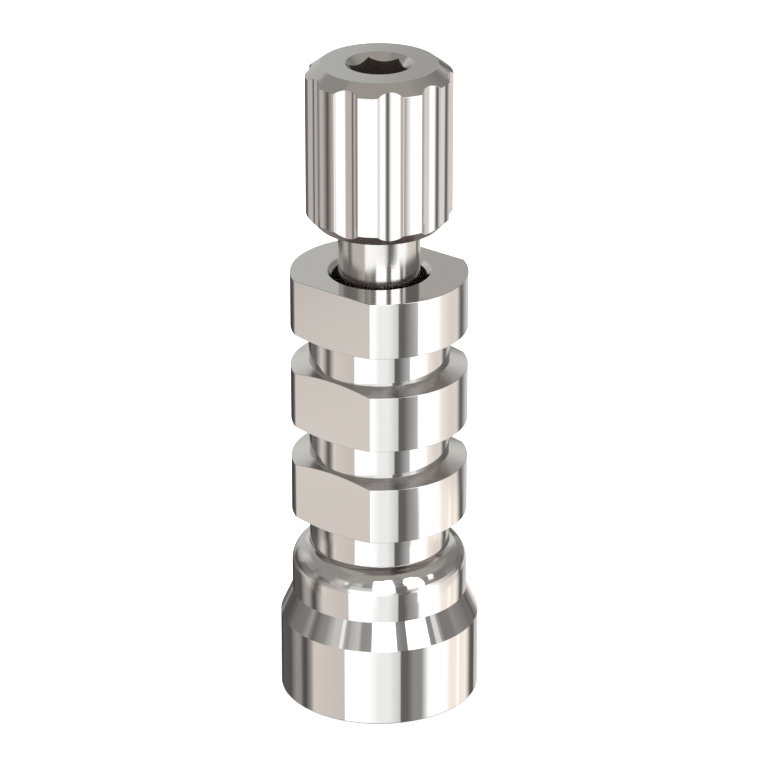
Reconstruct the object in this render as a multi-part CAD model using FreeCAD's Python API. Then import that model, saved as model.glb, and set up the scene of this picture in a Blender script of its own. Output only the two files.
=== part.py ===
# Open-tray impression coping with its guide screw, in millimetres.
# +Z is up along the common turning axis, and Z = 0 is the platform that seats on the abutment.
# The flats of the retention rings face -Y and +Y.

import FreeCAD, Part
import math
import os

# Base, cone and collar of the coping
base_diameter = 5.0
base_height = 2.03
base_edge_break = 0.02
cone_height = 0.67
collar_height = 1.33
collar_corner_radius = 0.6
neck_foot_radius = 0.1

# Retention rings and the necks between them
ring_count = 3
ring_diameter = 4.4
ring_height = 1.435
ring_spacing = 1.045
ring_cone_angle = 16.0
lowest_neck_length = 0.875
groove_depth = 0.45
flat_depth = 0.35

# Recess over the abutment, and the web above it that carries the screw's seat
recess_mouth_diameter = 4.1
recess_taper_angle = 19.0
recess_register = 0.25
recess_depth = 2.3
seat_web = 1.0

# Shank, journal and threaded end of the guide screw
shank_diameter = 2.03
shank_gap = 0.16
shank_edge_break = 0.04
journal_diameter = 1.5
journal_clearance = 0.05
thread_diameter = 1.4
thread_length = 1.5
thread_end_bevel = 0.2
thread_end_inset = 0.15
thread_relief_diameter = 1.06
thread_relief_length = 0.15
bore_countersink = 0.105

# Finger head of the guide screw
head_gap = 1.28
head_diameter = 3.6
head_length = 4.12
top_bevel_width = 0.36
top_bevel_height = 0.27
lower_bevel_width = 0.28
lower_bevel_height = 0.3
flute_count = 10
flute_radius = 0.5
flute_depth = 0.14

# Driver socket in the head
socket_across_flats = 1.27
socket_depth = 1.6
socket_drill_diameter = 1.2
socket_mouth_diameter = 1.65
socket_point_angle = 118.0

# How far the screw is turned in its bore, from the +X axis
screw_turn = 30.0

# Radii, taken from the diameters
base_radius = base_diameter / 2
ring_radius = ring_diameter / 2
neck_radius = ring_radius - groove_depth
shank_radius = shank_diameter / 2
bore_radius = shank_radius + shank_gap
journal_radius = journal_diameter / 2
journal_bore_radius = journal_radius + journal_clearance
thread_radius = thread_diameter / 2
relief_radius = thread_relief_diameter / 2
head_radius = head_diameter / 2

# Heights, from the platform up
cone_top = base_height + cone_height
collar_top = cone_top + collar_height
lowest_ring_bottom = collar_top + lowest_neck_length
ring_pitch = ring_height + ring_spacing
coping_top = lowest_ring_bottom + (ring_count - 1) * ring_pitch + ring_height
ring_cone_height = groove_depth * math.tan(math.radians(ring_cone_angle))
seat_height = recess_depth + seat_web
head_bottom = coping_top + head_gap
head_top = head_bottom + head_length
thread_top = thread_end_inset + thread_length
relief_bottom = thread_top + thread_radius - relief_radius
relief_top = relief_bottom + thread_relief_length
journal_bottom = relief_top + journal_radius - relief_radius


def point(radius, height):
    """A point of a turning profile, in the XZ plane."""
    return FreeCAD.Vector(radius, 0, height)


def turned(start, steps):
    """The solid turned from a closed profile. A step of one point is a line, and of two an arc."""
    here = point(*start)
    edges = []
    for step in steps + [(start,)]:
        stops = [point(*stop) for stop in step]
        if len(stops) == 1:
            edges.append(Part.LineSegment(here, stops[0]).toShape())
        else:
            edges.append(Part.Arc(here, stops[0], stops[1]).toShape())
        here = stops[-1]
    face = Part.Face(Part.Wire(edges))
    return face.revolve(point(0, 0), FreeCAD.Vector(0, 0, 1), 360)


def collar_corner():
    """Steps of the rounded collar edge and the small hollow where it runs into the neck."""
    corner_r = ring_radius - collar_corner_radius
    corner_z = collar_top - collar_corner_radius
    reach = collar_corner_radius + neck_foot_radius
    foot_r = neck_radius + neck_foot_radius
    foot_angle = math.acos((foot_r - corner_r) / reach)
    foot_z = corner_z + reach * math.sin(foot_angle)

    def on_corner(angle):
        return (
            corner_r + collar_corner_radius * math.cos(angle),
            corner_z + collar_corner_radius * math.sin(angle),
        )

    def on_foot(angle):
        return (
            foot_r - neck_foot_radius * math.cos(angle),
            foot_z - neck_foot_radius * math.sin(angle),
        )

    return [
        (on_corner(0),),
        (on_corner(foot_angle / 2), on_corner(foot_angle)),
        (on_foot(foot_angle / 2), on_foot(0)),
    ]


def ring_steps(index):
    """Steps of one retention ring, with cones towards the necks. The top ring ends in a flat face."""
    bottom = lowest_ring_bottom + index * ring_pitch
    top = bottom + ring_height
    steps = [
        ((neck_radius, bottom - ring_cone_height),),
        ((ring_radius, bottom),),
        ((ring_radius, top),),
    ]
    if index < ring_count - 1:
        steps.append(((neck_radius, top + ring_cone_height),))
    return steps


def coping_blank():
    """The coping as it leaves the lathe, bored through, before its flats are milled."""
    recess_mouth_radius = recess_mouth_diameter / 2
    taper = (recess_depth - recess_register) * math.tan(math.radians(recess_taper_angle))
    steps = [
        ((base_radius - base_edge_break, 0),),
        ((base_radius, base_edge_break),),
        ((base_radius, base_height),),
        ((ring_radius, cone_top),),
    ]
    steps += collar_corner()
    for index in range(ring_count):
        steps += ring_steps(index)
    steps += [
        ((bore_radius + bore_countersink, coping_top),),
        ((bore_radius, coping_top - bore_countersink),),
        ((bore_radius, seat_height),),
        ((journal_bore_radius, seat_height),),
        ((journal_bore_radius, recess_depth),),
        ((recess_mouth_radius - taper, recess_depth),),
        ((recess_mouth_radius, recess_register),),
    ]
    return turned((recess_mouth_radius, 0), steps)


def ring_flats():
    """The two blocks that mill the parallel flats, from the lowest neck past the top ring."""
    flat_y = ring_radius - flat_depth
    cut_bottom = collar_top + neck_foot_radius
    cut_height = coping_top - cut_bottom + groove_depth
    blocks = []
    for side in (-1, 1):
        near = min(side * flat_y, side * ring_diameter)
        corner = FreeCAD.Vector(-ring_diameter, near, cut_bottom)
        blocks.append(Part.makeBox(2 * ring_diameter, ring_diameter - flat_y, cut_height, corner))
    return blocks


def coping_body():
    """The transfer coping, one turned piece with flatted rings."""
    return coping_blank().cut(ring_flats())


def screw_blank():
    """The guide screw as it leaves the lathe, from its threaded end to the finger head."""
    steps = [
        ((thread_radius - thread_end_bevel, thread_end_inset),),
        ((thread_radius, thread_end_inset + thread_end_bevel),),
        ((thread_radius, thread_top),),
        ((relief_radius, relief_bottom),),
        ((relief_radius, relief_top),),
        ((journal_radius, journal_bottom),),
        ((journal_radius, seat_height),),
        ((shank_radius - shank_edge_break, seat_height),),
        ((shank_radius, seat_height + shank_edge_break),),
        ((shank_radius, head_bottom),),
        ((head_radius - lower_bevel_width, head_bottom),),
        ((head_radius, head_bottom + lower_bevel_height),),
        ((head_radius, head_top - top_bevel_height),),
        ((head_radius - top_bevel_width, head_top),),
        ((0, head_top),),
    ]
    return turned((0, thread_end_inset), steps)


def flutes():
    """Cylinders that scallop the head, one for each finger flute."""
    centre_radius = head_radius - flute_depth + flute_radius
    first = Part.makeCylinder(flute_radius, head_length, point(centre_radius, head_bottom))
    cutters = []
    for index in range(flute_count):
        cutter = first.copy()
        cutter.rotate(point(0, 0), FreeCAD.Vector(0, 0, 1), index * 360 / flute_count)
        cutters.append(cutter)
    return cutters


def driver_socket():
    """The hexagonal socket with its drill point, and the countersink that leads a driver into it."""
    corner_radius = socket_across_flats / 2 / math.cos(math.radians(30))
    corners = []
    for index in range(7):
        angle = math.radians(60 * index)
        corners.append(
            FreeCAD.Vector(
                corner_radius * math.cos(angle),
                corner_radius * math.sin(angle),
                head_top - socket_depth,
            )
        )
    hexagon = Part.Face(Part.makePolygon(corners))
    prism = hexagon.extrude(FreeCAD.Vector(0, 0, socket_depth))
    point_radius = socket_drill_diameter / 2
    point_depth = point_radius / math.tan(math.radians(socket_point_angle / 2))
    drill_point = Part.makeCone(
        0, point_radius, point_depth, point(0, head_top - socket_depth - point_depth)
    )
    mouth_radius = socket_mouth_diameter / 2
    mouth = Part.makeCone(0, mouth_radius, mouth_radius, point(0, head_top - mouth_radius))
    return [prism, drill_point, mouth]


def guide_screw():
    """The guide screw, seated on its shoulder and turned to its place in the bore."""
    screw = screw_blank().cut(flutes() + driver_socket())
    screw.rotate(point(0, 0), FreeCAD.Vector(0, 0, 1), screw_turn)
    return screw


def write_part(name, shape):
    """Save one piece as its own STEP file, as a single solid."""
    solids = shape.Solids
    if len(solids) != 1 or not shape.isValid():
        raise ValueError(name + " is not one valid solid")
    solids[0].exportStep("parts/" + name + ".step")
    print(name, "volume", round(solids[0].Volume, 3), "mm3")


os.makedirs("parts", exist_ok=True)
write_part("coping_body", coping_body())
write_part("guide_screw", guide_screw())
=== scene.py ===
import math

import bmesh
import bpy
from bpy.props import FloatProperty, FloatVectorProperty, IntProperty, PointerProperty
from mathutils import Color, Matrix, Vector


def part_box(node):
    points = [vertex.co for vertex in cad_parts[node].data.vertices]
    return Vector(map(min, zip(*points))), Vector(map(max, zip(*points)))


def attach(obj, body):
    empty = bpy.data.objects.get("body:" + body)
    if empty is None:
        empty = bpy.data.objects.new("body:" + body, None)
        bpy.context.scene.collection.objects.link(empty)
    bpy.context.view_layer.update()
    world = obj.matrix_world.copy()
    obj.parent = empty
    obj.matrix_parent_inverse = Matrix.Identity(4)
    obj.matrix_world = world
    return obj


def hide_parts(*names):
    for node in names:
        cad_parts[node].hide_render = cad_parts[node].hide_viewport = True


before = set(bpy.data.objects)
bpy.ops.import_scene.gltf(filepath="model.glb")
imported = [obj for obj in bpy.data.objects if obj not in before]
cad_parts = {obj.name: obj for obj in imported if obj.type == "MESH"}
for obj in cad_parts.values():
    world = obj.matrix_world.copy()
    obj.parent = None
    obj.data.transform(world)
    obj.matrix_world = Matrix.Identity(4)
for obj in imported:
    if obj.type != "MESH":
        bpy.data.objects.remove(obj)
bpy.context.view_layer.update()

bl_info = {
    "name": "Impression coping",
    "version": (1, 0, 0),
    "blender": (4, 5, 0),
    "location": "3D View > Sidebar > Coping",
    "description": "Builds a turned impression coping with its guide screw on a white studio stage",
    "category": "Mesh",
}

COPING_LOW, COPING_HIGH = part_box("coping_body")
SCREW_LOW, SCREW_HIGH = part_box("guide_screw")

MM = 0.001
FULL_TURN = 2 * math.pi
SIZE_SLACK = 0.002 * MM

# Directions in the room are in degrees, and colours are given on a screen's scale
HALF_CIRCLE = 180
ONE_RADIAN = math.degrees(1)
SCREEN_WHITE = 255

# How finely the meshes are divided
COPING_COLUMNS = 240
EDGE_COLUMNS = 4
FLUTE_COLUMNS = 20
LAND_COLUMNS = 6
THREAD_ROWS = 64
ARC_STEPS = 14
EASE_STEPS = 3
CLOSEST_COLUMNS = math.radians(0.03)
TINY_TURN = math.radians(0.001)
SAME_PLACE = 1e-8

# An eased corner takes at most this share of a stretch. The corner over a ring's cone has this
# share of the usual ease, and close columns go this many eases past the edge of a flat
EASE_SHARE = 0.45
TIGHT_EASE = 1 / 4
EDGE_MARGIN = 2

# A section that runs along the flats never meets them, and this sine stands for the 0 there
LEAST_SINE = 0.01

# Shares of half a pitch that the thread's crest and root take
CREST_SHARE = 1 / 8
ROOT_SHARE = 1 / 4

# The driver socket, with close columns this far from its corners
HEX_SIDES = 6
HEX_TURN = FULL_TURN / HEX_SIDES
HEX_CORNER = math.radians(0.8)
DRILL_POINT = math.radians(118)

# Marks that the tools leave: how many a millimetre has across their way, and along it
TURNED_MARKS = 11
MILLED_MARKS = 11
MILLED_RUN = 0.5
DRAWN_MARKS = 16
DRAWN_RUN = 0.6
MARK_DETAIL = 4

# Haze in the polish, and how much marks and haze change the colour and the roughness
HAZE_SCALE = 0.9
HAZE_DETAIL = 2
MARK_SHARE = 0.6
DULLED = 0.95
LEAST_ROUGHNESS = 0.75
ROUGHNESS_SPREAD = 0.25

# A quarter turn, so that brushed metal stretches what it mirrors across its marks
ACROSS_MARKS = 0.25

# Where the camera's sight begins and ends, in distances to its target
CLIP_NEAR = 0.01
CLIP_FAR = 100

# What the metal mirrors, ring by ring. Each strip begins this many degrees to the right of the
# camera, runs from one surface to another and has an edge this soft. One strip begins at 0
FLOOR_RING = (
    (-180, "floor_pale", "floor_pale", 4),
    (-28, "floor_shade", "floor_shade", 4),
    (0, "floor_shade", "floor_shade", 0),
    (24, "black_flag", "black_flag", 4),
    (54, "floor_shade", "floor_shade", 4),
    (105, "floor_pale", "floor_pale", 4),
)
FRONT_PANELS = (
    (-41.5, "white_panel", "white_panel", 0.8),
    (-19, "white_panel", "soft_panel", 0),
    (0, "soft_panel", "soft_panel", 0),
    (11, "soft_panel", "soft_dim", 0),
    (24.1, "dark_flag", "dark_flag", 1.2),
)
RIGHT_WALLS = (
    (82, "white_panel", "peach_wall", 0),
    (92, "peach_wall", "peach_wall", 0),
    (102, "cream_panel", "cream_panel", 1),
    (109, "sand_light", "peach_wall", 1),
    (122, "peach_wall", "dark_flag", 0),
    (133.5, "dark_flag", "black_flag", 0),
)
BASE_RING = (
    (-180, "edge_flag", "edge_flag", 0),
    (-156, "black_flag", "black_flag", 0.5),
    (-128, "black_flag", "grey_wall", 0),
    (-115, "grey_wall", "grey_wall", 0),
    (-107, "grey_wall", "black_flag", 0),
    (-100.5, "black_flag", "black_flag", 0),
    (-96, "black_flag", "grey_wall", 0),
    (-88.5, "grey_wall", "warm_light", 0),
    (-83, "warm_light", "warm_wall", 0),
    *FRONT_PANELS,
    (33, "dark_flag", "cool_grey", 0),
    (41, "cool_grey", "cool_grey", 0),
    (50.5, "cool_grey", "white_panel", 0),
    (61.5, "white_panel", "white_panel", 0),
    *RIGHT_WALLS,
    (140, "black_flag", "black_flag", 0),
    (144.5, "black_flag", "stone_light", 0),
    (149, "stone_light", "warm_dim", 0),
)
COLLAR_RING = (
    (-180, "edge_flag", "edge_flag", 0),
    (-154, "black_flag", "black_flag", 0.5),
    (-128, "black_flag", "stone_wall", 0),
    (-115, "stone_wall", "stone_wall", 0),
    (-107, "stone_wall", "black_flag", 0),
    (-98.5, "black_flag", "black_flag", 0),
    (-94.5, "black_flag", "warm_light", 0),
    (-80.5, "warm_light", "warm_wall", 0),
    *FRONT_PANELS,
    (33.5, "dark_flag", "grey_wall", 0),
    (40, "grey_wall", "stone_light", 0),
    (51.5, "stone_light", "white_panel", 0),
    (56, "white_panel", "white_panel", 0),
    *RIGHT_WALLS,
    (140, "black_flag", "stone_light", 0),
    (149, "stone_light", "warm_dim", 0),
)
WALL_RING = (
    (-180, "edge_flag", "edge_flag", 0),
    (-154, "edge_flag", "dark_flag", 0),
    (-146, "dark_flag", "dark_flag", 0),
    (-127, "dark_flag", "stone_light", 0),
    (-114.5, "warm_wall", "warm_wall", 1),
    (-105.5, "warm_wall", "dark_flag", 0),
    (-94, "dark_flag", "dark_flag", 0),
    (-90, "dark_flag", "warm_light", 0),
    (-78.5, "warm_light", "warm_wall", 0),
    (-41.5, "white_panel", "white_panel", 0.8),
    (-10, "white_panel", "soft_panel", 0),
    (0, "soft_panel", "soft_panel", 0),
    (12, "soft_panel", "soft_dim", 0),
    (24.3, "dark_flag", "dark_flag", 1),
    (31.5, "dark_flag", "grey_light", 0),
    (51, "white_panel", "white_panel", 0.6),
    (79, "white_panel", "sand_light", 0),
    (89, "sand_light", "sand_wall", 0),
    (106, "sand_wall", "sand_wall", 0),
    (120.5, "sand_wall", "dark_flag", 0),
    (130.5, "dark_flag", "dark_flag", 0),
    (135.5, "dark_flag", "stone_light", 0),
    (150, "stone_light", "warm_dim", 0),
)
HEAD_RING = (
    (-180, "black_flag", "dark_flag", 0),
    (-146, "dark_flag", "shade_wall", 0),
    (-131, "shade_wall", "stone_light", 0),
    (-117, "stone_light", "warm_dim", 0),
    (-99, "warm_dim", "black_flag", 0),
    (-88, "black_flag", "warm_dim", 0),
    (-76.5, "warm_dim", "warm_dim", 0),
    (-43.5, "warm_dim", "white_panel", 0),
    (-35, "white_panel", "white_panel", 0),
    (0, "white_panel", "white_panel", 0),
    (9, "white_panel", "soft_panel", 0),
    (17.5, "soft_dim", "soft_dim", 1),
    (23.5, "dim_wall", "dim_wall", 1),
    (29.5, "shade_wall", "shade_wall", 0.5),
    (39.3, "stone_wall", "white_panel", 0.4),
    (51.5, "white_panel", "white_panel", 0),
    (77, "white_panel", "pale_light", 0),
    (87, "pale_light", "sand_wall", 0),
    (112, "pale_light", "pale_light", 1),
    (121, "pale_light", "dark_flag", 0),
    (126, "dark_flag", "dark_flag", 0),
    (130, "dark_flag", "warm_wall", 0),
    (138, "warm_wall", "warm_wall", 0),
)
HORIZON_RING = (
    (-180, "stone_light", "stone_wall", 0),
    (-153, "stone_wall", "dark_flag", 0),
    (-146, "black_flag", "black_flag", 0.5),
    (-121, "black_flag", "stone_wall", 0),
    (-95, "stone_wall", "shade_wall", 0),
    (-86, "shade_wall", "stone_wall", 0),
    (-73, "stone_wall", "warm_dim", 0),
    (-42, "warm_dim", "white_panel", 0),
    (-37, "white_panel", "white_panel", 0),
    (0, "soft_panel", "soft_panel", 0),
    (20.3, "shade_wall", "shade_wall", 1),
    (33, "shade_wall", "grey_light", 0),
    (42, "soft_dim", "soft_dim", 1),
    (51, "white_panel", "white_panel", 1),
    (67, "cream_panel", "sand_wall", 0),
    (86, "sand_wall", "stone_wall", 0),
    (112, "stone_wall", "shade_wall", 0),
    (119, "shade_wall", "shade_wall", 0),
    (133, "dark_flag", "dark_flag", 0.5),
    (141, "dim_wall", "dim_wall", 0.5),
)
SILL_RING = (
    (-180, "stone_light", "stone_light", 0),
    (-149, "grey_wall", "grey_wall", 1),
    (-125, "shade_wall", "dim_wall", 1),
    (-97, "dim_wall", "stone_wall", 0),
    (-90, "stone_wall", "dark_flag", 0),
    (-82, "dark_flag", "grey_wall", 0),
    (-66, "stone_light", "warm_dim", 1),
    (-48, "stone_light", "stone_wall", 1),
    (-38, "soft_dim", "soft_dim", 1),
    (0, "soft_panel", "soft_panel", 0),
    (20, "shade_wall", "shade_wall", 1),
    (32, "shade_wall", "grey_wall", 0),
    (37, "white_panel", "white_panel", 0.6),
    (59, "grey_wall", "grey_wall", 1),
    (76, "dim_wall", "dim_wall", 1.5),
    (92, "dim_wall", "grey_wall", 0),
    (98, "grey_wall", "dim_wall", 0),
    (114, "dim_wall", "shade_wall", 0.5),
    (124, "shade_wall", "dim_wall", 0),
    (150, "dim_wall", "grey_wall", 0),
    (159.5, "dark_flag", "dark_flag", 0.6),
    (171, "grey_wall", "stone_wall", 1),
)
UPPER_RING = (
    (-180, "stone_light", "stone_light", 0),
    (-173, "pale_wall", "pale_wall", 1.5),
    (-157, "stone_light", "stone_light", 1.5),
    (-143, "stone_light", "pale_wall", 0),
    (-130, "pale_wall", "grey_wall", 0),
    (-112, "grey_wall", "grey_wall", 0),
    (-98, "dim_wall", "grey_wall", 1),
    (-86, "grey_wall", "grey_wall", 0),
    (-66, "grey_wall", "pale_wall", 0),
    (-55, "pale_wall", "pale_wall", 0),
    (-47.5, "stone_light", "stone_light", 1),
    (-40, "stone_wall", "stone_wall", 1),
    (-36, "stone_light", "pale_wall", 1),
    (-24.5, "pale_wall", "grey_wall", 0),
    (-21, "grey_wall", "stone_wall", 0),
    (0, "grey_wall", "grey_wall", 0),
    (22, "grey_wall", "dim_wall", 0),
    (30, "dim_wall", "dim_wall", 0),
    (59, "grey_wall", "dim_wall", 0),
    (80, "dim_wall", "dim_wall", 0),
    (143, "dim_wall", "stone_wall", 0),
    (151, "stone_wall", "pale_wall", 0),
    (156, "pale_wall", "pale_wall", 0),
    (173, "stone_wall", "stone_wall", 1.5),
)
CEILING_RING = (
    (-180, "stone_light", "grey_wall", 0),
    (-130, "grey_wall", "ceiling_dim", 0),
    (-60, "ceiling_dim", "ceiling", 0),
    (-45, "ceiling", "ceiling", 0),
    (0, "ceiling", "ceiling", 0),
    (22, "ceiling", "ceiling_dim", 0),
    (31, "ceiling_dim", "ceiling_dim", 0),
    (38, "ceiling_dim", "ceiling", 0),
    (46, "ceiling", "ceiling", 0),
    (96, "ceiling", "ceiling_dim", 0),
    (122, "ceiling_dim", "dim_wall", 0),
    (140, "ceiling_dim", "stone_light", 1),
)
ZENITH_RING = (
    (-180, "ceiling", "ceiling", 0),
    (0, "ceiling", "ceiling", 0),
)

# Each ring begins at this elevation in degrees and runs into the one below over this many
ROOM = (
    (-90, 0, FLOOR_RING),
    (-31, 1.5, BASE_RING),
    (-27.1, 0.15, COLLAR_RING),
    (-25.4, 0.2, WALL_RING),
    (-22.5, 0.4, HEAD_RING),
    (-15, 3, HORIZON_RING),
    (-3, 3, SILL_RING),
    (12, 3, UPPER_RING),
    (31, 5, CEILING_RING),
    (62, 3, ZENITH_RING),
)

# Windows in the room: left, right, bottom and top edges in degrees, how soft, and the surface
WINDOWS = (
    (-8.6, 20, -12, 14, 0.8, "white_panel"),
    (-8.6, 20, 12, 46.5, 0.8, "window"),
    (8, 20, 42, 50.5, 1.5, "window"),
    (36, 59.6, -4, 9, 0.8, "white_panel"),
    (36, 59.6, 7, 42, 0.8, "window"),
    (33.3, 59.6, 17, 34, 0.8, "window"),
    (40, 55, 38, 48, 1.2, "window"),
    (74, 77.5, 9, 15, 1.5, "stone_wall"),
    (67, 74.3, 11, 16, 0.8, "pale_light"),
    (69, 76.5, 15.5, 25, 0.8, "white_panel"),
    (71.5, 79.5, 23, 33, 1, "white_panel"),
    (-152, -121, 5, 13, 3, "stone_light"),
    (-46.8, -42.3, 14, 26.5, 0.8, "soft_panel"),
    (-82, -75, -25.2, -24.35, 0.3, "sand_wall"),
    (153, 171, 30, 46, 6, "grey_wall"),
    (-60, 28, 74, 81, 2, "dim_wall"),
    (30, 52, 71, 80, 2, "shade_wall"),
)


def length(name, description, metres):
    """A length that the user can change, in metres."""
    return FloatProperty(
        name=name, description=description, default=metres, min=0, unit="LENGTH", precision=6
    )


def angle(name, description, degrees):
    """An angle that the user can change."""
    return FloatProperty(
        name=name, description=description, default=math.radians(degrees), subtype="ANGLE"
    )


def share(name, description, value, top=1.0):
    """A plain number from 0 to a top value."""
    return FloatProperty(name=name, description=description, default=value, min=0, max=top)


def tint(name, description, red, green, blue):
    """A colour that the user can change, given as a screen shows it or brighter than its white."""
    seen = Color([channel / SCREEN_WHITE for channel in (red, green, blue)])
    return FloatVectorProperty(
        name=name,
        description=description,
        default=tuple(seen.from_srgb_to_scene_linear()),
        size=3,
        min=0,
        soft_max=1,
        subtype="COLOR",
    )


class CopingSizes(bpy.types.PropertyGroup):
    """Sizes of the coping body, from the platform up."""

    base_diameter: length("Base diameter", "Across the base", COPING_HIGH.x - COPING_LOW.x)
    base_height: length("Base height", "Height of the plain base", 2.03 * MM)
    base_edge_break: length("Base edge break", "Small bevel round the platform", 0.02 * MM)
    cone_height: length("Cone height", "Height of the cone above the base", 0.67 * MM)
    collar_height: length("Collar height", "From the cone to the top of the collar", 1.33 * MM)
    collar_corner: length("Collar corner", "Radius of the collar's top edge", 0.6 * MM)
    neck_foot: length("Neck foot", "Radius of the hollow under the lowest neck", 0.03 * MM)
    ring_count: IntProperty(name="Rings", description="How many retention rings", default=3, min=1)
    ring_diameter: length("Ring diameter", "Across the collar and the rings", 4.4 * MM)
    ring_height: length("Ring height", "Height of a ring's wall", 1.435 * MM)
    ring_spacing: length("Ring spacing", "Gap between the walls of two rings", 1.045 * MM)
    ring_cone: angle("Ring cone", "Slope of a ring's faces towards the neck", 16)
    lowest_neck: length("Lowest neck", "From the collar to the lowest ring's wall", 0.875 * MM)
    groove_depth: length("Groove depth", "How far the necks lie inside the rings", 0.45 * MM)
    flat_depth: length("Flat depth", "How far the flats cut into the rings", 0.35 * MM)
    bore_radius: length("Bore radius", "Radius of the through bore", 1.175 * MM)
    bore_countersink: length("Bore countersink", "Bevel at the mouth of the bore", 0.105 * MM)
    journal_radius: length("Journal radius", "Radius of the bore below the seat", 0.8 * MM)
    seat_height: length("Seat height", "Height of the seat of the screw", 3.3 * MM)
    recess_radius: length("Recess radius", "Radius of the mouth of the recess", 2.05 * MM)
    recess_depth: length("Recess depth", "Depth of the recess in the base", 2.3 * MM)
    recess_register: length("Recess register", "Plain stretch at the recess's mouth", 0.25 * MM)
    recess_taper: angle("Recess taper", "Slope of the wall of the recess", 19)


class ScrewSizes(bpy.types.PropertyGroup):
    """Sizes of the guide screw."""

    head_diameter: length("Head diameter", "Across the finger head", 3.6 * MM)
    head_length: length("Head length", "Length of the finger head", 4.12 * MM)
    top_bevel_width: length("Top bevel width", "Width of the head's top bevel", 0.36 * MM)
    top_bevel_height: length("Top bevel height", "Height of the head's top bevel", 0.27 * MM)
    lower_bevel_width: length("Lower bevel width", "Width of its lower bevel", 0.28 * MM)
    lower_bevel_height: length("Lower bevel height", "Height of its lower bevel", 0.3 * MM)
    flute_count: IntProperty(name="Flutes", description="How many flutes", default=10, min=3)
    flute_radius: length("Flute radius", "Radius of a flute's hollow", 0.5 * MM)
    flute_depth: length("Flute depth", "Depth of a flute", 0.14 * MM)
    flute_edge: length("Flute edge", "Width over which a flute's edge is eased", 0.012 * MM)
    socket_across: length("Socket across flats", "Width of the hexagonal socket", 1.27 * MM)
    socket_depth: length("Socket depth", "Depth of the socket's walls", 1.6 * MM)
    socket_mouth: length("Socket mouth", "Diameter of the socket's countersink", 1.65 * MM)
    socket_drill: length("Socket drill", "Diameter of the drill point", 1.2 * MM)
    shank_diameter: length("Shank diameter", "Across the plain shank", 2.03 * MM)
    shank_edge_break: length("Shank edge break", "Bevel round the shoulder", 0.04 * MM)
    journal_diameter: length("Journal diameter", "Across the journal", 1.5 * MM)
    thread_diameter: length("Thread diameter", "Outer diameter of the thread", 1.4 * MM)
    thread_length: length("Thread length", "Length of the threaded end", 1.5 * MM)
    thread_pitch: length("Thread pitch", "Rise of the thread in a turn", 0.3 * MM)
    thread_depth: length("Thread depth", "Depth of the thread", 0.184 * MM)
    thread_bevel: length("Thread bevel", "Bevel at the screw's end", 0.2 * MM)
    relief_diameter: length("Relief diameter", "Across the groove above the thread", 1.06 * MM)
    relief_length: length("Relief length", "Length of the groove above the thread", 0.15 * MM)
    turn: angle("Turn", "How far the screw is turned from +X", 30)


class FinishSettings(bpy.types.PropertyGroup):
    """Colours and finish of the metal, with darker copies of its colour painted as shade in the
    hollows, under the head and on the head's end face.
    """

    coping_colour: tint("Coping metal", "Colour of the coping's metal", 198, 195, 193)
    screw_colour: tint("Screw metal", "Colour of the screw's metal", 192, 188, 185)
    polish: share("Polish roughness", "Roughness of the polished walls", 0.05)
    face_polish: share("Face roughness", "Roughness of the turned faces", 0.1)
    cone_polish: share("Cone roughness", "Roughness of the rings' cones", 0.19)
    flat_polish: share("Flat roughness", "Roughness of the milled flats", 0.08)
    shank_polish: share("Shank roughness", "Roughness of the shank", 0.17)
    brushed: share("Brushed", "How much the shank's marks stretch what it mirrors", 0.85)
    socket_polish: share("Socket roughness", "Roughness of the socket and the bore", 0.2)
    thread_polish: share("Thread roughness", "Roughness of the thread", 0.16)
    # Painted shade: the head's top face gets a slightly darker copy of the screw's metal colour
    end_shade_colour: tint("End face painted shade", "Colour of the face at the head's end", 186, 185, 184)
    # Painted shade: the bore, the seat and the recess get a darker copy of the metal's colour for
    # the shade inside them
    bore_shade_colour: tint("Bore painted shade", "Colour of the bore, darkened as painted shade", 150, 142, 138)
    # Painted shade: the hexagonal socket gets a dark brown copy of the metal's colour for the shade
    # deep inside it
    socket_shade_colour: tint("Socket painted shade", "Colour of the socket, darkened as painted shade", 112, 102, 98)
    # Painted shade: the lower bevel under the head gets a darker copy of the metal's colour for the
    # shade beneath the head
    under_shade_colour: tint("Under the head", "Colour of the head's lower bevel", 132, 120, 115)
    thread_colour: tint("Thread metal", "Colour of the thread", 190, 186, 183)
    # Painted shade: the concave hollow where the collar meets the neck gets a darker copy of the
    # metal's colour
    foot_shade_colour: tint("Neck foot", "Colour of the hollow under the neck, darkened as painted shade", 158, 150, 146)
    foot_polish: share("Foot roughness", "Roughness of the hollow under the neck", 0.3)
    hidden_shine: share("Shine in hollows", "How metallic the dull hollows are", 0.8)
    mark_depth: length("Mark depth", "Depth of the turning marks", 0.00002 * MM)
    coarse_depth: length("Coarse marks", "Depth of the marks in socket and thread", 0.00008 * MM)
    edge_radius: length("Edge radius", "Radius that turned edges are eased to", 0.012 * MM)


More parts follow.
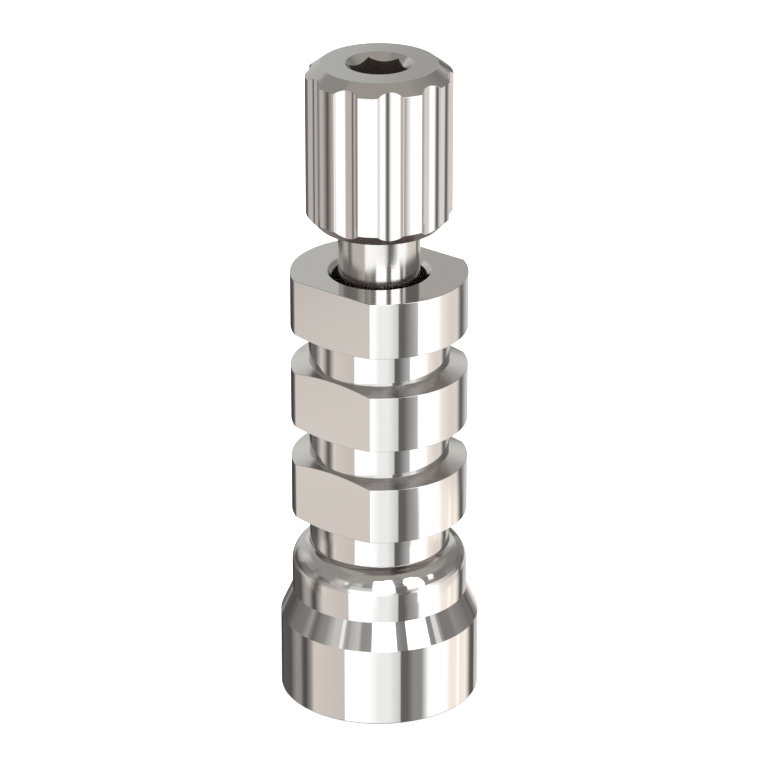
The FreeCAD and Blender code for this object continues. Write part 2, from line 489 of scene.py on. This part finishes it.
class StudioSettings(bpy.types.PropertyGroup):
    """The camera, the floor and what the polished metal mirrors."""

    azimuth: angle("Camera azimuth", "Where the camera stands round the coping", 38.9)
    elevation: angle("Camera elevation", "How high the camera stands", 24.027)
    distance: length("Camera distance", "From the camera to its target", 108.232 * MM)
    target_height: length("Target height", "Height that the camera looks at", 8.2354 * MM)
    target_side: length("Target side", "How far the target is right of the axis", 0.116 * MM)
    lens: FloatProperty(name="Lens", description="Focal length", default=204.07, unit="CAMERA")
    floor_size: length("Floor size", "Width of the floor", 3.0)
    floor_gap: length("Floor gap", "Hair's breadth between floor and platform", 0.005 * MM)
    floor_colour: tint("Floor", "Colour of the floor", 245, 245, 245)
    room_light: share("Room light", "Strength of the soft light on the floor", 2.0, 10)
    mirrored_light: share("Mirrored light", "Strength of what the metal mirrors", 1.02, 10)
    window: tint("Window", "Colour of the windows", 358, 360, 362)
    white_panel: tint("White panel", "Colour of the white panels", 268, 268, 267)
    cream_panel: tint("Cream panel", "Colour of the cream panels", 254, 247, 237)
    soft_panel: tint("Soft panel", "Colour of the dimmer light panel", 235, 235, 233)
    soft_dim: tint("Dim end of the soft panel", "Colour of the panel's dim end", 202, 202, 200)
    peach_wall: tint("Peach wall", "Colour of the peach wall", 244, 232, 220)
    sand_light: tint("Light sand wall", "Colour of the light sand wall", 236, 227, 217)
    sand_wall: tint("Sand wall", "Colour of the sand wall", 213, 205, 197)
    warm_light: tint("Light end of the warm wall", "Colour of its light end", 206, 198, 191)
    warm_wall: tint("Warm wall", "Colour of the warm wall", 197, 188, 182)
    warm_dim: tint("Dim warm wall", "Colour of the dim warm walls", 188, 180, 177)
    pale_light: tint("Pale light", "Colour of the small windows", 218, 216, 213)
    pale_wall: tint("Pale wall", "Colour of the pale walls", 193, 191, 186)
    grey_light: tint("Light grey wall", "Colour of the light grey wall", 182, 182, 180)
    cool_grey: tint("Cool grey wall", "Colour of the cool grey wall", 139, 138, 138)
    stone_light: tint("Light stone wall", "Colour of the light stone walls", 173, 171, 167)
    stone_wall: tint("Stone wall", "Colour of the stone walls", 156, 152, 148)
    grey_wall: tint("Grey wall", "Colour of the grey walls", 141, 138, 135)
    dim_wall: tint("Dim wall", "Colour of the dim walls", 124, 120, 117)
    shade_wall: tint("Shaded wall", "Colour of the shaded walls", 110, 106, 103)
    dark_flag: tint("Dark flag", "Colour of the dark flags", 97, 94, 91)
    black_flag: tint("Black flag", "Colour of the darkest flags", 80, 77, 75)
    edge_flag: tint("Edge flag", "Colour of the flag along the left edge", 58, 55, 53)
    ceiling: tint("Ceiling", "Colour of the ceiling", 155, 151, 145)
    ceiling_dim: tint("Dim ceiling", "Colour of the dim parts of the ceiling", 141, 138, 133)
    floor_pale: tint("Pale floor", "Colour of the pale floor that is mirrored", 152, 145, 141)
    floor_shade: tint("Floor shade", "Colour of the floor next to the coping", 146, 142, 140)


class Number:
    """One number in a node tree. Python's operators add Math nodes to the tree."""

    def __init__(self, graph, socket):
        self.graph = graph
        self.socket = socket

    def __add__(self, other):
        return self.graph.maths("ADD", self, other)

    def __radd__(self, other):
        return self.graph.maths("ADD", other, self)

    def __sub__(self, other):
        return self.graph.maths("SUBTRACT", self, other)

    def __rsub__(self, other):
        return self.graph.maths("SUBTRACT", other, self)

    def __mul__(self, other):
        return self.graph.maths("MULTIPLY", self, other)

    def __rmul__(self, other):
        return self.graph.maths("MULTIPLY", other, self)

    def __truediv__(self, other):
        return self.graph.maths("DIVIDE", self, other)

    def __rtruediv__(self, other):
        return self.graph.maths("DIVIDE", other, self)

    def __pow__(self, other):
        return self.graph.maths("POWER", self, other)

    def __rpow__(self, other):
        return self.graph.maths("POWER", other, self)


class Graph:
    """An empty node tree, filled by one method."""

    def __init__(self, tree):
        tree.nodes.clear()
        self.tree = tree

    def node(self, kind, settings=None, sockets=None):
        """Add a node: its settings first, then the values or links of its sockets."""
        made = self.tree.nodes.new(kind)
        for name, value in (settings or {}).items():
            if name == "stops":
                self.set_stops(made.color_ramp, value)
            else:
                setattr(made, name, value)
        for name, value in (sockets or {}).items():
            if isinstance(value, Number):
                value = value.socket
            if isinstance(value, bpy.types.NodeSocket):
                self.tree.links.new(value, made.inputs[name])
            else:
                made.inputs[name].default_value = value
        return made

    @staticmethod
    def set_stops(ramp, stops):
        """Give a colour ramp these stops, each a place from 0 to 1 and a linear colour."""
        while len(ramp.elements) > 1:
            ramp.elements.remove(ramp.elements[-1])
        for index, (place, colour) in enumerate(stops):
            stop = ramp.elements[0] if index == 0 else ramp.elements.new(place)
            stop.position = place
            stop.color = (*colour, 1)

    def maths(self, operation, first, second=0.0):
        """The result of one Math node."""
        made = self.node("ShaderNodeMath", {"operation": operation}, {0: first, 1: second})
        return Number(self, made.outputs[0])

    def split(self, vector):
        """The three numbers of a vector."""
        made = self.node("ShaderNodeSeparateXYZ", None, {"Vector": vector})
        return [Number(self, made.outputs[axis]) for axis in "XYZ"]

    def join(self, x, y, z):
        """A vector of three numbers."""
        return self.node("ShaderNodeCombineXYZ", None, {"X": x, "Y": y, "Z": z}).outputs[0]

    def noise(self, place, scale, detail):
        """Soft noise at a place, from 0 to 1."""
        made = self.node(
            "ShaderNodeTexNoise", None, {"Vector": place, "Scale": scale, "Detail": detail}
        )
        return Number(self, made.outputs[0])

    def ramp(self, number, stops):
        """The colour of a ramp at a number."""
        made = self.node("ShaderNodeValToRGB", {"stops": stops}, {"Fac": number})
        return made.outputs["Color"]

    def rise(self, number, low, high):
        """From 0 to 1 as a number goes from low to high."""
        made = self.node(
            "ShaderNodeMapRange",
            {"interpolation_type": "SMOOTHSTEP"},
            {"Value": number, "From Min": low, "From Max": high},
        )
        return Number(self, made.outputs["Result"])

    def blend(self, factor, first, second):
        """A colour between two, by a factor."""
        made = self.node(
            "ShaderNodeMix",
            {"data_type": "RGBA"},
            {"Factor": factor, "A": first, "B": second},
        )
        return made.outputs["Result"]


class Section:
    """Half the outline of a turned piece at one angle, walked from corner to corner."""

    def __init__(self, closed):
        self.closed = closed
        self.corners = []

    def go(self, radius, height, finish, ease=0.0):
        """Walk to a corner. The finish is that of the stretch that leads on from it."""
        self.corners.append((Vector((radius, height)), finish, ease))

    def sweep(self, centre, radius, start, stop, finish, then):
        """Walk along an arc, from one angle to another about its centre, and on in a new finish."""
        for step in range(ARC_STEPS + 1):
            turn = start + (stop - start) * step / ARC_STEPS
            self.go(
                centre[0] + radius * math.cos(turn),
                centre[1] + radius * math.sin(turn),
                finish if step < ARC_STEPS else then,
            )

    def places(self):
        """The outline with its corners eased: places, which way it runs there, and finishes."""
        last = len(self.corners) - 1
        found = []
        for index, (corner, finish, ease) in enumerate(self.corners):
            before = self.corners[index - 1][0]
            after = self.corners[index + 1 if index < last else 0][0]
            if not self.closed and index == 0:
                before = corner + (corner - after)
            if not self.closed and index == last:
                after = corner + (corner - before)
            found += [(*bend, finish) for bend in eased(before, corner, after, ease)]
        return found


def eased(before, corner, after, radius):
    """The places that stand for a corner, itself or a bend of this radius, and the ways it runs."""
    back = before - corner
    on = after - corner
    if radius == 0:
        return [(corner, on.normalized() - back.normalized())]
    reach = radius / math.tan(back.angle(on) / 2)
    reach = min(reach, EASE_SHARE * back.length, EASE_SHARE * on.length)
    start = corner + back.normalized() * reach
    end = corner + on.normalized() * reach
    bend = []
    for step in range(EASE_STEPS + 1):
        t = step / EASE_STEPS
        first = start.lerp(corner, t)
        second = corner.lerp(end, t)
        bend.append((first.lerp(second, t), second - first))
    return bend


def soft_least(first, second, width):
    """The smaller of two sizes, blended where they differ by less than a width."""
    near = max(width - abs(first - second), 0) / width
    return min(first, second) - near * near * width / 4


def spread(start, stop, count):
    """Evenly spaced angles from start to stop, both included."""
    return [start + (stop - start) * index / count for index in range(count + 1)]


def tidy_angles(angles):
    """The angles of one turn in order, without near doubles."""
    kept = []
    for turn in sorted(turn % FULL_TURN for turn in angles):
        if not kept or turn - kept[-1] > CLOSEST_COLUMNS:
            kept.append(turn)
    if kept[0] + FULL_TURN - kept[-1] < CLOSEST_COLUMNS:
        kept.pop()
    return kept


def around(place, turn):
    """A place of a section, at an angle about the axis."""
    return Vector((place[0] * math.cos(turn), place[0] * math.sin(turn), place[1]))


def add_column(build, section_at, angle_at, turn):
    """A column of points up the section at an angle. Each comes with the finish that leads on."""
    facing = build.verts.layers.float_vector["facing"]
    before = section_at(angle_at - TINY_TURN).places()
    after = section_at(angle_at + TINY_TURN).places()
    column = []
    for index, (place, way, finish) in enumerate(section_at(angle_at).places()):
        point = build.verts.new(around(place, angle_at + turn))
        across = around(after[index][0], angle_at + turn + TINY_TURN) - around(
            before[index][0], angle_at + turn - TINY_TURN
        )
        along = around(way, angle_at + turn)
        point[facing] = across.cross(along).normalized()
        if place[0] < SAME_PLACE:
            point[facing] = Vector((0, 0, -1 if index == 0 else 1))
        column.append((point, finish))
    return column


def add_faces(build, columns, closed, order):
    """Smooth faces between each column of points and the next, all the way round."""
    rows = len(columns[0])
    for index, column in enumerate(columns):
        after = columns[(index + 1) % len(columns)]
        for row in range(rows if closed else rows - 1):
            above = (row + 1) % rows
            face = build.faces.new(
                (column[row][0], after[row][0], after[above][0], column[above][0])
            )
            face.material_index = order.index(column[row][1])
            face.smooth = True


def turned_piece(name, angles, section_at, finishes, turn=0.0):
    """A mesh with one column of points for each angle. Every section has as many corners."""
    mesh = bpy.data.meshes.new(name)
    build = bmesh.new()
    build.verts.layers.float_vector.new("facing")
    columns = [add_column(build, section_at, angle_at, turn) for angle_at in angles]
    add_faces(build, columns, section_at(0).closed, list(finishes))
    bmesh.ops.remove_doubles(build, verts=build.verts, dist=SAME_PLACE)
    bmesh.ops.dissolve_degenerate(build, edges=build.edges, dist=SAME_PLACE)
    build.to_mesh(mesh)
    build.free()
    facing = mesh.attributes["facing"]
    mesh.normals_split_custom_set_from_vertices([point.vector for point in facing.data])
    mesh.attributes.remove(mesh.attributes["facing"])
    for material in finishes.values():
        mesh.materials.append(material)
    piece = bpy.data.objects.new(name, mesh)
    bpy.context.scene.collection.objects.link(piece)
    return piece


def collar_corner(section, sizes, neck_radius, collar_top):
    """Walk over the rounded edge of the collar and the small hollow where it runs into the neck."""
    corner_r = sizes.ring_diameter / 2 - sizes.collar_corner
    corner_z = collar_top - sizes.collar_corner
    foot_r = neck_radius + sizes.neck_foot
    reach = sizes.collar_corner + sizes.neck_foot
    foot_angle = math.acos((foot_r - corner_r) / reach)
    foot_z = corner_z + reach * math.sin(foot_angle)
    # The small hollow takes the darker finish that paints shade in the neck's foot
    section.sweep((corner_r, corner_z), sizes.collar_corner, 0, foot_angle, "turned", "foot")
    section.sweep(
        (foot_r, foot_z), sizes.neck_foot, math.pi + foot_angle, math.pi, "foot", "turned"
    )


def bore_and_recess(section, sizes, ease, top):
    """Walk down the bore, over the screw's seat and on down the wall of the recess."""
    taper = (sizes.recess_depth - sizes.recess_register) * math.tan(sizes.recess_taper)
    section.go(sizes.bore_radius + sizes.bore_countersink, top, "faced", ease)
    # These stretches take the darker finish that paints shade inside the bore and the recess
    section.go(sizes.bore_radius, top - sizes.bore_countersink, "drilled", ease)
    section.go(sizes.bore_radius, sizes.seat_height, "drilled", ease)
    section.go(sizes.journal_radius, sizes.seat_height, "drilled", ease)
    section.go(sizes.journal_radius, sizes.recess_depth, "drilled", ease)
    section.go(sizes.recess_radius - taper, sizes.recess_depth, "drilled", ease)
    section.go(sizes.recess_radius, sizes.recess_register, "drilled", ease)


def coping_section(sizes, ease, turn):
    """The coping's section at an angle from the +X axis."""
    base_radius = sizes.base_diameter / 2
    ring_radius = sizes.ring_diameter / 2
    neck_radius = ring_radius - sizes.groove_depth
    cone_top = sizes.base_height + sizes.cone_height
    collar_top = cone_top + sizes.collar_height
    flat_at = (ring_radius - sizes.flat_depth) / max(abs(math.sin(turn)), LEAST_SINE)
    edge = soft_least(ring_radius, flat_at, ease)
    wall = "milled" if flat_at < ring_radius else "turned"
    neck_drop = (ring_radius - neck_radius) * math.tan(sizes.ring_cone)
    edge_drop = (ring_radius - edge) * math.tan(sizes.ring_cone)
    section = Section(closed=True)
    section.go(sizes.recess_radius, 0, "faced", ease)
    section.go(base_radius - sizes.base_edge_break, 0, "turned", ease)
    section.go(base_radius, sizes.base_edge_break, "turned", ease)
    section.go(base_radius, sizes.base_height, "turned", ease)
    section.go(ring_radius, cone_top, "turned", ease)
    collar_corner(section, sizes, neck_radius, collar_top)
    for index in range(sizes.ring_count):
        bottom = collar_top + sizes.lowest_neck + index * (sizes.ring_height + sizes.ring_spacing)
        top = bottom + sizes.ring_height
        section.go(neck_radius, bottom - neck_drop, "coned", ease)
        section.go(edge, bottom - edge_drop, wall, ease)
        if index < sizes.ring_count - 1:
            section.go(edge, top + edge_drop, "coned", ease)
            section.go(neck_radius, top + neck_drop, "turned", ease * TIGHT_EASE)
        else:
            section.go(edge, top, "faced", ease)
    bore_and_recess(section, sizes, ease, top)
    return section


def coping_angles(sizes, ease):
    """Angles of the coping's columns: even ones, and close ones where flats meet walls."""
    angles = spread(0, FULL_TURN, COPING_COLUMNS)
    ring_radius = sizes.ring_diameter / 2
    flat_end = math.asin((ring_radius - sizes.flat_depth) / ring_radius)
    reach = ease / ring_radius / math.tan(math.pi / 2 - flat_end) * EDGE_MARGIN
    for middle in (flat_end, math.pi - flat_end, math.pi + flat_end, -flat_end):
        angles += spread(middle - reach, middle + reach, EDGE_COLUMNS)
    return tidy_angles(angles)


def thread_radius(sizes, height, turn):
    """How far out the thread reaches at a height and an angle from the +X axis."""
    turns = height / sizes.thread_pitch - turn / FULL_TURN
    from_crest = 1 - abs(turns % 1 - 0.5) * 2
    depth = (from_crest - CREST_SHARE) / (1 - CREST_SHARE - ROOT_SHARE)
    return sizes.thread_diameter / 2 - sizes.thread_depth * min(max(depth, 0), 1)


def threaded_end(section, sizes, turn):
    """Walk up the threaded end of the screw, from its flat tip to the journal."""
    radius = sizes.thread_diameter / 2
    relief = sizes.relief_diameter / 2
    journal = sizes.journal_diameter / 2
    tip = SCREW_LOW.z
    top = tip + sizes.thread_length
    relief_bottom = top + radius - relief
    relief_top = relief_bottom + sizes.relief_length
    section.go(0, tip, "thread")
    for step in range(THREAD_ROWS + 1):
        height = tip + (relief_bottom - tip) * step / THREAD_ROWS
        bevel = radius - sizes.thread_bevel + height - tip
        run_out = radius + top - height
        section.go(min(thread_radius(sizes, height, turn), bevel, run_out), height, "thread")
    section.go(relief, relief_top, "thread")
    section.go(journal, relief_top + journal - relief, "turned")


def flute_centre(sizes):
    """How far from the axis the middle of a flute's hollow is."""
    return sizes.head_diameter / 2 - sizes.flute_depth + sizes.flute_radius


def flute_floor(sizes, turn):
    """How far out the head's metal reaches in the nearest flute, at an angle from the +X axis."""
    pitch = FULL_TURN / sizes.flute_count
    off = (turn + pitch / 2) % pitch - pitch / 2
    centre = flute_centre(sizes)
    across = centre * math.sin(off)
    if abs(across) >= sizes.flute_radius:
        return math.inf
    return centre * math.cos(off) - math.sqrt(sizes.flute_radius**2 - across**2)


def driver_socket(section, sizes, ease, turn):
    """Walk down the hexagonal socket, from its countersink to the drill's point on the axis."""
    top = SCREW_HIGH.z
    bottom = top - sizes.socket_depth
    mouth = sizes.socket_mouth / 2
    wall = sizes.socket_across / 2 / math.cos(turn % HEX_TURN - HEX_TURN / 2)
    drill = sizes.socket_drill / 2
    section.go(mouth, top, "faced", ease)
    section.go(wall, top - mouth + wall, "socket", ease)
    section.go(wall, bottom, "socket", ease)
    section.go(drill, bottom, "socket", ease)
    section.go(0, bottom - drill / math.tan(DRILL_POINT / 2), "socket")


def screw_section(sizes, seat, ease, turn):
    """The screw's section at an angle from the +X axis, before the screw is turned to its place."""
    shank = sizes.shank_diameter / 2
    journal = sizes.journal_diameter / 2
    head = sizes.head_diameter / 2
    top_face = head - sizes.top_bevel_width
    lower_face = head - sizes.lower_bevel_width
    top = SCREW_HIGH.z
    bottom = top - sizes.head_length
    floor = flute_floor(sizes, turn)
    edge = soft_least(head, floor, sizes.flute_edge)
    top_bevel = (edge - top_face) * sizes.top_bevel_height / sizes.top_bevel_width
    lower_bevel = (edge - lower_face) * sizes.lower_bevel_height / sizes.lower_bevel_width
    section = Section(closed=False)
    threaded_end(section, sizes, turn)
    section.go(journal, seat, "faced", ease)
    section.go(shank - sizes.shank_edge_break, seat, "turned")
    section.go(shank, seat + sizes.shank_edge_break, "shank", ease)
    section.go(shank, bottom, "under", ease)
    section.go(lower_face, bottom, "under", ease)
    section.go(edge, bottom + lower_bevel, "fluted" if floor < head else "turned", ease)
    section.go(edge, top - top_bevel, "turned", ease)
    section.go(top_face, top, "end", ease)
    driver_socket(section, sizes, ease, turn)
    return section


def screw_angles(sizes):
    """Angles of the screw's columns: even ones over flutes and lands, and close ones at edges."""
    pitch = FULL_TURN / sizes.flute_count
    head = sizes.head_diameter / 2
    centre = flute_centre(sizes)
    edge = math.acos((head**2 + centre**2 - sizes.flute_radius**2) / (2 * head * centre))
    swing = math.asin(head * math.sin(edge) / sizes.flute_radius)
    reach = sizes.flute_edge / head / math.tan(swing + edge)
    angles = []
    for index in range(sizes.flute_count):
        middle = index * pitch
        for bend in spread(-swing, swing, FLUTE_COLUMNS):
            across = sizes.flute_radius * math.sin(bend)
            along = centre - sizes.flute_radius * math.cos(bend)
            angles.append(middle + math.atan2(across, along))
        angles += spread(middle - edge - reach, middle - edge + reach, EDGE_COLUMNS)
        angles += spread(middle + edge - reach, middle + edge + reach, EDGE_COLUMNS)
        angles += spread(middle + edge + reach, middle + pitch - edge - reach, LAND_COLUMNS)
    for index in range(HEX_SIDES):
        corner = index * HEX_TURN
        angles += [corner - HEX_CORNER, corner, corner + HEX_CORNER]
    return tidy_angles(angles)


def turning_lay(graph, x, y, z):
    """Round the axis, as a lathe tool or a polishing wheel leaves its marks."""
    radius = (x * x + y * y) ** 0.5
    return graph.join(radius * TURNED_MARKS, z * TURNED_MARKS, 0)


def milling_lay(graph, x, y, z):
    """Across the flats, as the side of a milling cutter leaves its marks."""
    return graph.join(x * MILLED_RUN, y * MILLED_MARKS, z * MILLED_MARKS)


def drawn_lay(graph, x, y, z):
    """Along the axis, as a broach or a fluting cutter leaves its marks."""
    return graph.join(x * DRAWN_MARKS, y * DRAWN_MARKS, z * DRAWN_RUN)


def metal(name, colour, polish, depth, lay=turning_lay, shine=1.0, brushed=0.0):
    """Bright metal with fine marks that run one way, and a faint haze in its polish."""
    material = bpy.data.materials.new(name)
    material.use_nodes = True
    graph = Graph(material.node_tree)
    place = graph.node("ShaderNodeTexCoord").outputs["Object"]
    x, y, z = (value / MM for value in graph.split(place))
    marks = graph.noise(lay(graph, x, y, z), 1.0, MARK_DETAIL)
    haze = graph.noise(graph.join(x, y, z), HAZE_SCALE, HAZE_DETAIL)
    pale = (*colour, 1)
    dull = (*(channel * DULLED for channel in colour), 1)
    bump = graph.node("ShaderNodeBump", None, {"Height": marks, "Distance": depth})
    shader = graph.node(
        "ShaderNodeBsdfPrincipled",
        None,
        {
            "Base Color": graph.blend(marks * MARK_SHARE + haze * (1 - MARK_SHARE), dull, pale),
            "Metallic": shine,
            "Anisotropic": brushed,
            "Anisotropic Rotation": ACROSS_MARKS,
            "Roughness": (LEAST_ROUGHNESS + (marks + haze) * ROUGHNESS_SPREAD) * polish,
            "Normal": bump.outputs["Normal"],
        },
    )
    graph.node("ShaderNodeOutputMaterial", None, {"Surface": shader.outputs["BSDF"]})
    return material


def strip_stops(strips, surfaces, low):
    """Ramp stops for the half of a ring of strips that begins at an azimuth."""
    ends = [strip[0] for strip in strips[1:]] + [HALF_CIRCLE]
    stops = []
    for (start, first, last, edge), end in zip(strips, ends):
        if low <= start < low + HALF_CIRCLE:
            stops.append(((start + edge - low) / HALF_CIRCLE, surfaces[first]))
            stops.append(((end - edge - low) / HALF_CIRCLE, surfaces[last]))
    return stops


def ring_colour(graph, azimuth, strips, surfaces):
    """The colour of a ring of strips at an azimuth in degrees, to the right of the camera."""
    left = graph.ramp(azimuth / HALF_CIRCLE + 1, strip_stops(strips, surfaces, -HALF_CIRCLE))
    right = graph.ramp(azimuth / HALF_CIRCLE, strip_stops(strips, surfaces, 0))
    return graph.blend(graph.maths("GREATER_THAN", azimuth, 0.0), left, right)


def within(graph, number, low, high, edge):
    """1 where a number is between two others, and 0 beyond them."""
    above = graph.rise(number, low - edge, low + edge)
    return above * (1 - graph.rise(number, high - edge, high + edge))


def surface_colours(settings, metal_colour):
    """The light from each surface of the room, such that its own tint shows on the coping."""
    names = [name for ring in ROOM for strip in ring[-1] for name in strip[1:3]]
    names += [window[-1] for window in WINDOWS]
    return {
        name: tuple(seen / kept for seen, kept in zip(getattr(settings, name), metal_colour))
        for name in names
    }


def room_colour(graph, azimuth, elevation, surfaces):
    """The colour of the room in a direction: its rings from the floor up, then its windows."""
    room = ring_colour(graph, azimuth, FLOOR_RING, surfaces)
    for start, edge, strips in ROOM[1:]:
        above = ring_colour(graph, azimuth, strips, surfaces)
        room = graph.blend(graph.rise(elevation, start - edge, start + edge), room, above)
    for left, right, bottom, top, edge, surface in WINDOWS:
        across = within(graph, azimuth, left, right, edge)
        up = within(graph, elevation, bottom, top, edge)
        room = graph.blend(across * up, room, (*surfaces[surface], 1))
    return room


def studio_world(settings, right, metal_colour):
    """Soft white light all round, and the room that the polished metal mirrors."""
    world = bpy.data.worlds.new("Studio")
    world.use_nodes = True
    world.cycles.sampling_method = "NONE"
    graph = Graph(world.node_tree)
    x, y, z = graph.split(graph.node("ShaderNodeTexCoord").outputs["Generated"])
    sideways = x * right.x + y * right.y
    towards = x * right.y - y * right.x
    azimuth = graph.maths("ARCTAN2", sideways, towards) * ONE_RADIAN
    elevation = graph.maths("ARCSINE", z) * ONE_RADIAN
    room = room_colour(graph, azimuth, elevation, surface_colours(settings, metal_colour))
    mirrored = graph.node(
        "ShaderNodeBackground", None, {"Color": room, "Strength": settings.mirrored_light}
    )
    soft = graph.node(
        "ShaderNodeBackground", None, {"Color": (1, 1, 1, 1), "Strength": settings.room_light}
    )
    glossy = graph.node("ShaderNodeLightPath").outputs["Is Glossy Ray"]
    either = graph.node(
        "ShaderNodeMixShader",
        None,
        {0: glossy, 1: soft.outputs["Background"], 2: mirrored.outputs["Background"]},
    )
    graph.node("ShaderNodeOutputWorld", None, {"Surface": either.outputs["Shader"]})
    return world


def pale_floor(settings):
    """A plain pale floor under the platform, which the metal doesn't mirror."""
    mesh = bpy.data.meshes.new("Floor")
    half = settings.floor_size / 2
    low = -settings.floor_gap
    corners = [(-half, -half, low), (half, -half, low), (half, half, low), (-half, half, low)]
    mesh.from_pydata(corners, [], [(0, 1, 2, 3)])
    material = bpy.data.materials.new("Pale floor")
    material.use_nodes = True
    graph = Graph(material.node_tree)
    shader = graph.node(
        "ShaderNodeBsdfPrincipled",
        None,
        {"Base Color": (*settings.floor_colour, 1), "Roughness": 1.0, "Specular IOR Level": 0.0},
    )
    graph.node("ShaderNodeOutputMaterial", None, {"Surface": shader.outputs["BSDF"]})
    mesh.materials.append(material)
    floor = bpy.data.objects.new("Floor", mesh)
    floor.visible_glossy = False
    bpy.context.scene.collection.objects.link(floor)
    return floor


def studio_camera(settings, right, back):
    """A long lens that looks down a little on the coping."""
    data = bpy.data.cameras.new("Camera")
    data.lens = settings.lens
    data.clip_start = settings.distance * CLIP_NEAR
    data.clip_end = settings.distance * CLIP_FAR
    camera = bpy.data.objects.new("Camera", data)
    target = right * settings.target_side + Vector((0, 0, settings.target_height))
    camera.location = target + back * settings.distance
    camera.rotation_mode = "QUATERNION"
    camera.rotation_quaternion = (-back).to_track_quat("-Z", "Y")
    bpy.context.scene.collection.objects.link(camera)
    return camera


def stand_for(piece, node, body):
    """Let a piece stand for its node and move with its body."""
    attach(piece, body)
    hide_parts(node)


class COPING_OT_turn_body(bpy.types.Operator):
    """Turn, mill and bore the coping body"""

    bl_idname = "coping.turn_body"
    bl_label = "Coping body"

    def execute(self, context):
        sizes = context.scene.coping_sizes
        finish = context.scene.coping_finish
        ease = finish.edge_radius
        colour = finish.coping_colour
        depth = finish.mark_depth
        finishes = {
            "turned": metal("Coping turned", colour, finish.polish, depth),
            "faced": metal("Coping faced", colour, finish.face_polish, depth),
            "coned": metal("Coping cones", colour, finish.cone_polish, depth),
            # Painted shade: a darker colour for the shade in the hollow under the neck
            "foot": metal("Coping neck foot painted shade", finish.foot_shade_colour, finish.foot_polish, depth),
            "milled": metal("Coping flats", colour, finish.flat_polish, depth, milling_lay),
            # Painted shade: a darker colour for the shade in the bore, the seat and the recess
            "drilled": metal(
                "Coping bore painted shade", finish.bore_shade_colour, finish.socket_polish, depth,
                shine=finish.hidden_shine,
            ),
        }
        piece = turned_piece(
            "coping",
            coping_angles(sizes, ease),
            lambda turn: coping_section(sizes, ease, turn),
            finishes,
        )
        if abs(piece.dimensions.z - (COPING_HIGH - COPING_LOW).z) > SIZE_SLACK:
            raise RuntimeError("The coping's heights don't add up to the height of its node")
        stand_for(piece, "coping_body", "coping")
        return {"FINISHED"}


class COPING_OT_turn_screw(bpy.types.Operator):
    """Turn, thread, flute and broach the guide screw"""

    bl_idname = "coping.turn_screw"
    bl_label = "Guide screw"

    def execute(self, context):
        sizes = context.scene.coping_screw
        seat = context.scene.coping_sizes.seat_height
        finish = context.scene.coping_finish
        ease = finish.edge_radius
        colour = finish.screw_colour
        depth = finish.mark_depth
        finishes = {
            "turned": metal("Screw turned", colour, finish.polish, depth),
            "faced": metal("Screw faced", colour, finish.face_polish, depth),
            # Painted shade: a darker colour for the shade under the head
            "under": metal(
                "Screw under head painted shade", finish.under_shade_colour, finish.socket_polish, depth,
                shine=finish.hidden_shine,
            ),
            "fluted": metal("Screw flutes", colour, finish.polish, depth, drawn_lay),
            "shank": metal(
                "Screw shank", colour, finish.shank_polish, depth, brushed=finish.brushed
            ),
            # Painted shade: a slightly darker colour for the head's end face
            "end": metal("Screw end face painted shade", finish.end_shade_colour, finish.face_polish, depth),
            # Painted shade: a dark colour for the shade inside the socket
            "socket": metal(
                "Screw socket painted shade", finish.socket_shade_colour, finish.socket_polish,
                finish.coarse_depth, drawn_lay, shine=finish.hidden_shine,
            ),
            "thread": metal(
                "Screw thread", finish.thread_colour, finish.thread_polish, finish.coarse_depth
            ),
        }
        piece = turned_piece(
            "screw",
            screw_angles(sizes),
            lambda turn: screw_section(sizes, seat, ease, turn),
            finishes,
            sizes.turn,
        )
        if abs(piece.dimensions.x - (SCREW_HIGH - SCREW_LOW).x) > SIZE_SLACK:
            raise RuntimeError("The screw's head isn't as wide as that of its node")
        stand_for(piece, "guide_screw", "screw")
        return {"FINISHED"}


class COPING_OT_set_stage(bpy.types.Operator):
    """Set the floor, the light and the camera"""

    bl_idname = "coping.set_stage"
    bl_label = "Stage"

    def execute(self, context):
        settings = context.scene.coping_studio
        azimuth = settings.azimuth
        level = math.cos(settings.elevation)
        right = Vector((math.cos(azimuth), math.sin(azimuth), 0))
        back = Vector(
            (math.sin(azimuth) * level, -math.cos(azimuth) * level, math.sin(settings.elevation))
        )
        pale_floor(settings)
        coping_colour = context.scene.coping_finish.coping_colour
        context.scene.world = studio_world(settings, right, coping_colour)
        context.scene.camera = studio_camera(settings, right, back)
        context.scene.view_settings.view_transform = "Standard"
        return {"FINISHED"}


class COPING_PT_panel(bpy.types.Panel):
    """The coping's sizes, finish and stage"""

    bl_idname = "COPING_PT_panel"
    bl_label = "Impression coping"
    bl_space_type = "VIEW_3D"
    bl_region_type = "UI"
    bl_category = "Coping"

    def draw(self, context):
        layout = self.layout
        for title, group in (
            ("Coping", context.scene.coping_sizes),
            ("Guide screw", context.scene.coping_screw),
            ("Finish", context.scene.coping_finish),
            ("Studio", context.scene.coping_studio),
        ):
            box = layout.box()
            box.label(text=title)
            for name in group.__annotations__:
                box.prop(group, name)
        for operator in (COPING_OT_turn_body, COPING_OT_turn_screw, COPING_OT_set_stage):
            layout.operator(operator.bl_idname)


GROUPS = {
    "coping_sizes": CopingSizes,
    "coping_screw": ScrewSizes,
    "coping_finish": FinishSettings,
    "coping_studio": StudioSettings,
}
TOOLS = (COPING_OT_turn_body, COPING_OT_turn_screw, COPING_OT_set_stage, COPING_PT_panel)


def register():
    """Add the settings to the scene, then the operators and their panel."""
    for name, group in GROUPS.items():
        bpy.utils.register_class(group)
        setattr(bpy.types.Scene, name, PointerProperty(type=group))
    for tool in TOOLS:
        bpy.utils.register_class(tool)


def unregister():
    """Take the panel, the operators and the settings away again."""
    for tool in reversed(TOOLS):
        bpy.utils.unregister_class(tool)
    for name, group in GROUPS.items():
        delattr(bpy.types.Scene, name)
        bpy.utils.unregister_class(group)


def main():
    """Build the coping, the screw and the stage."""
    register()
    bpy.ops.coping.turn_body()
    bpy.ops.coping.turn_screw()
    bpy.ops.coping.set_stage()


if __name__ == "__main__":
    main()
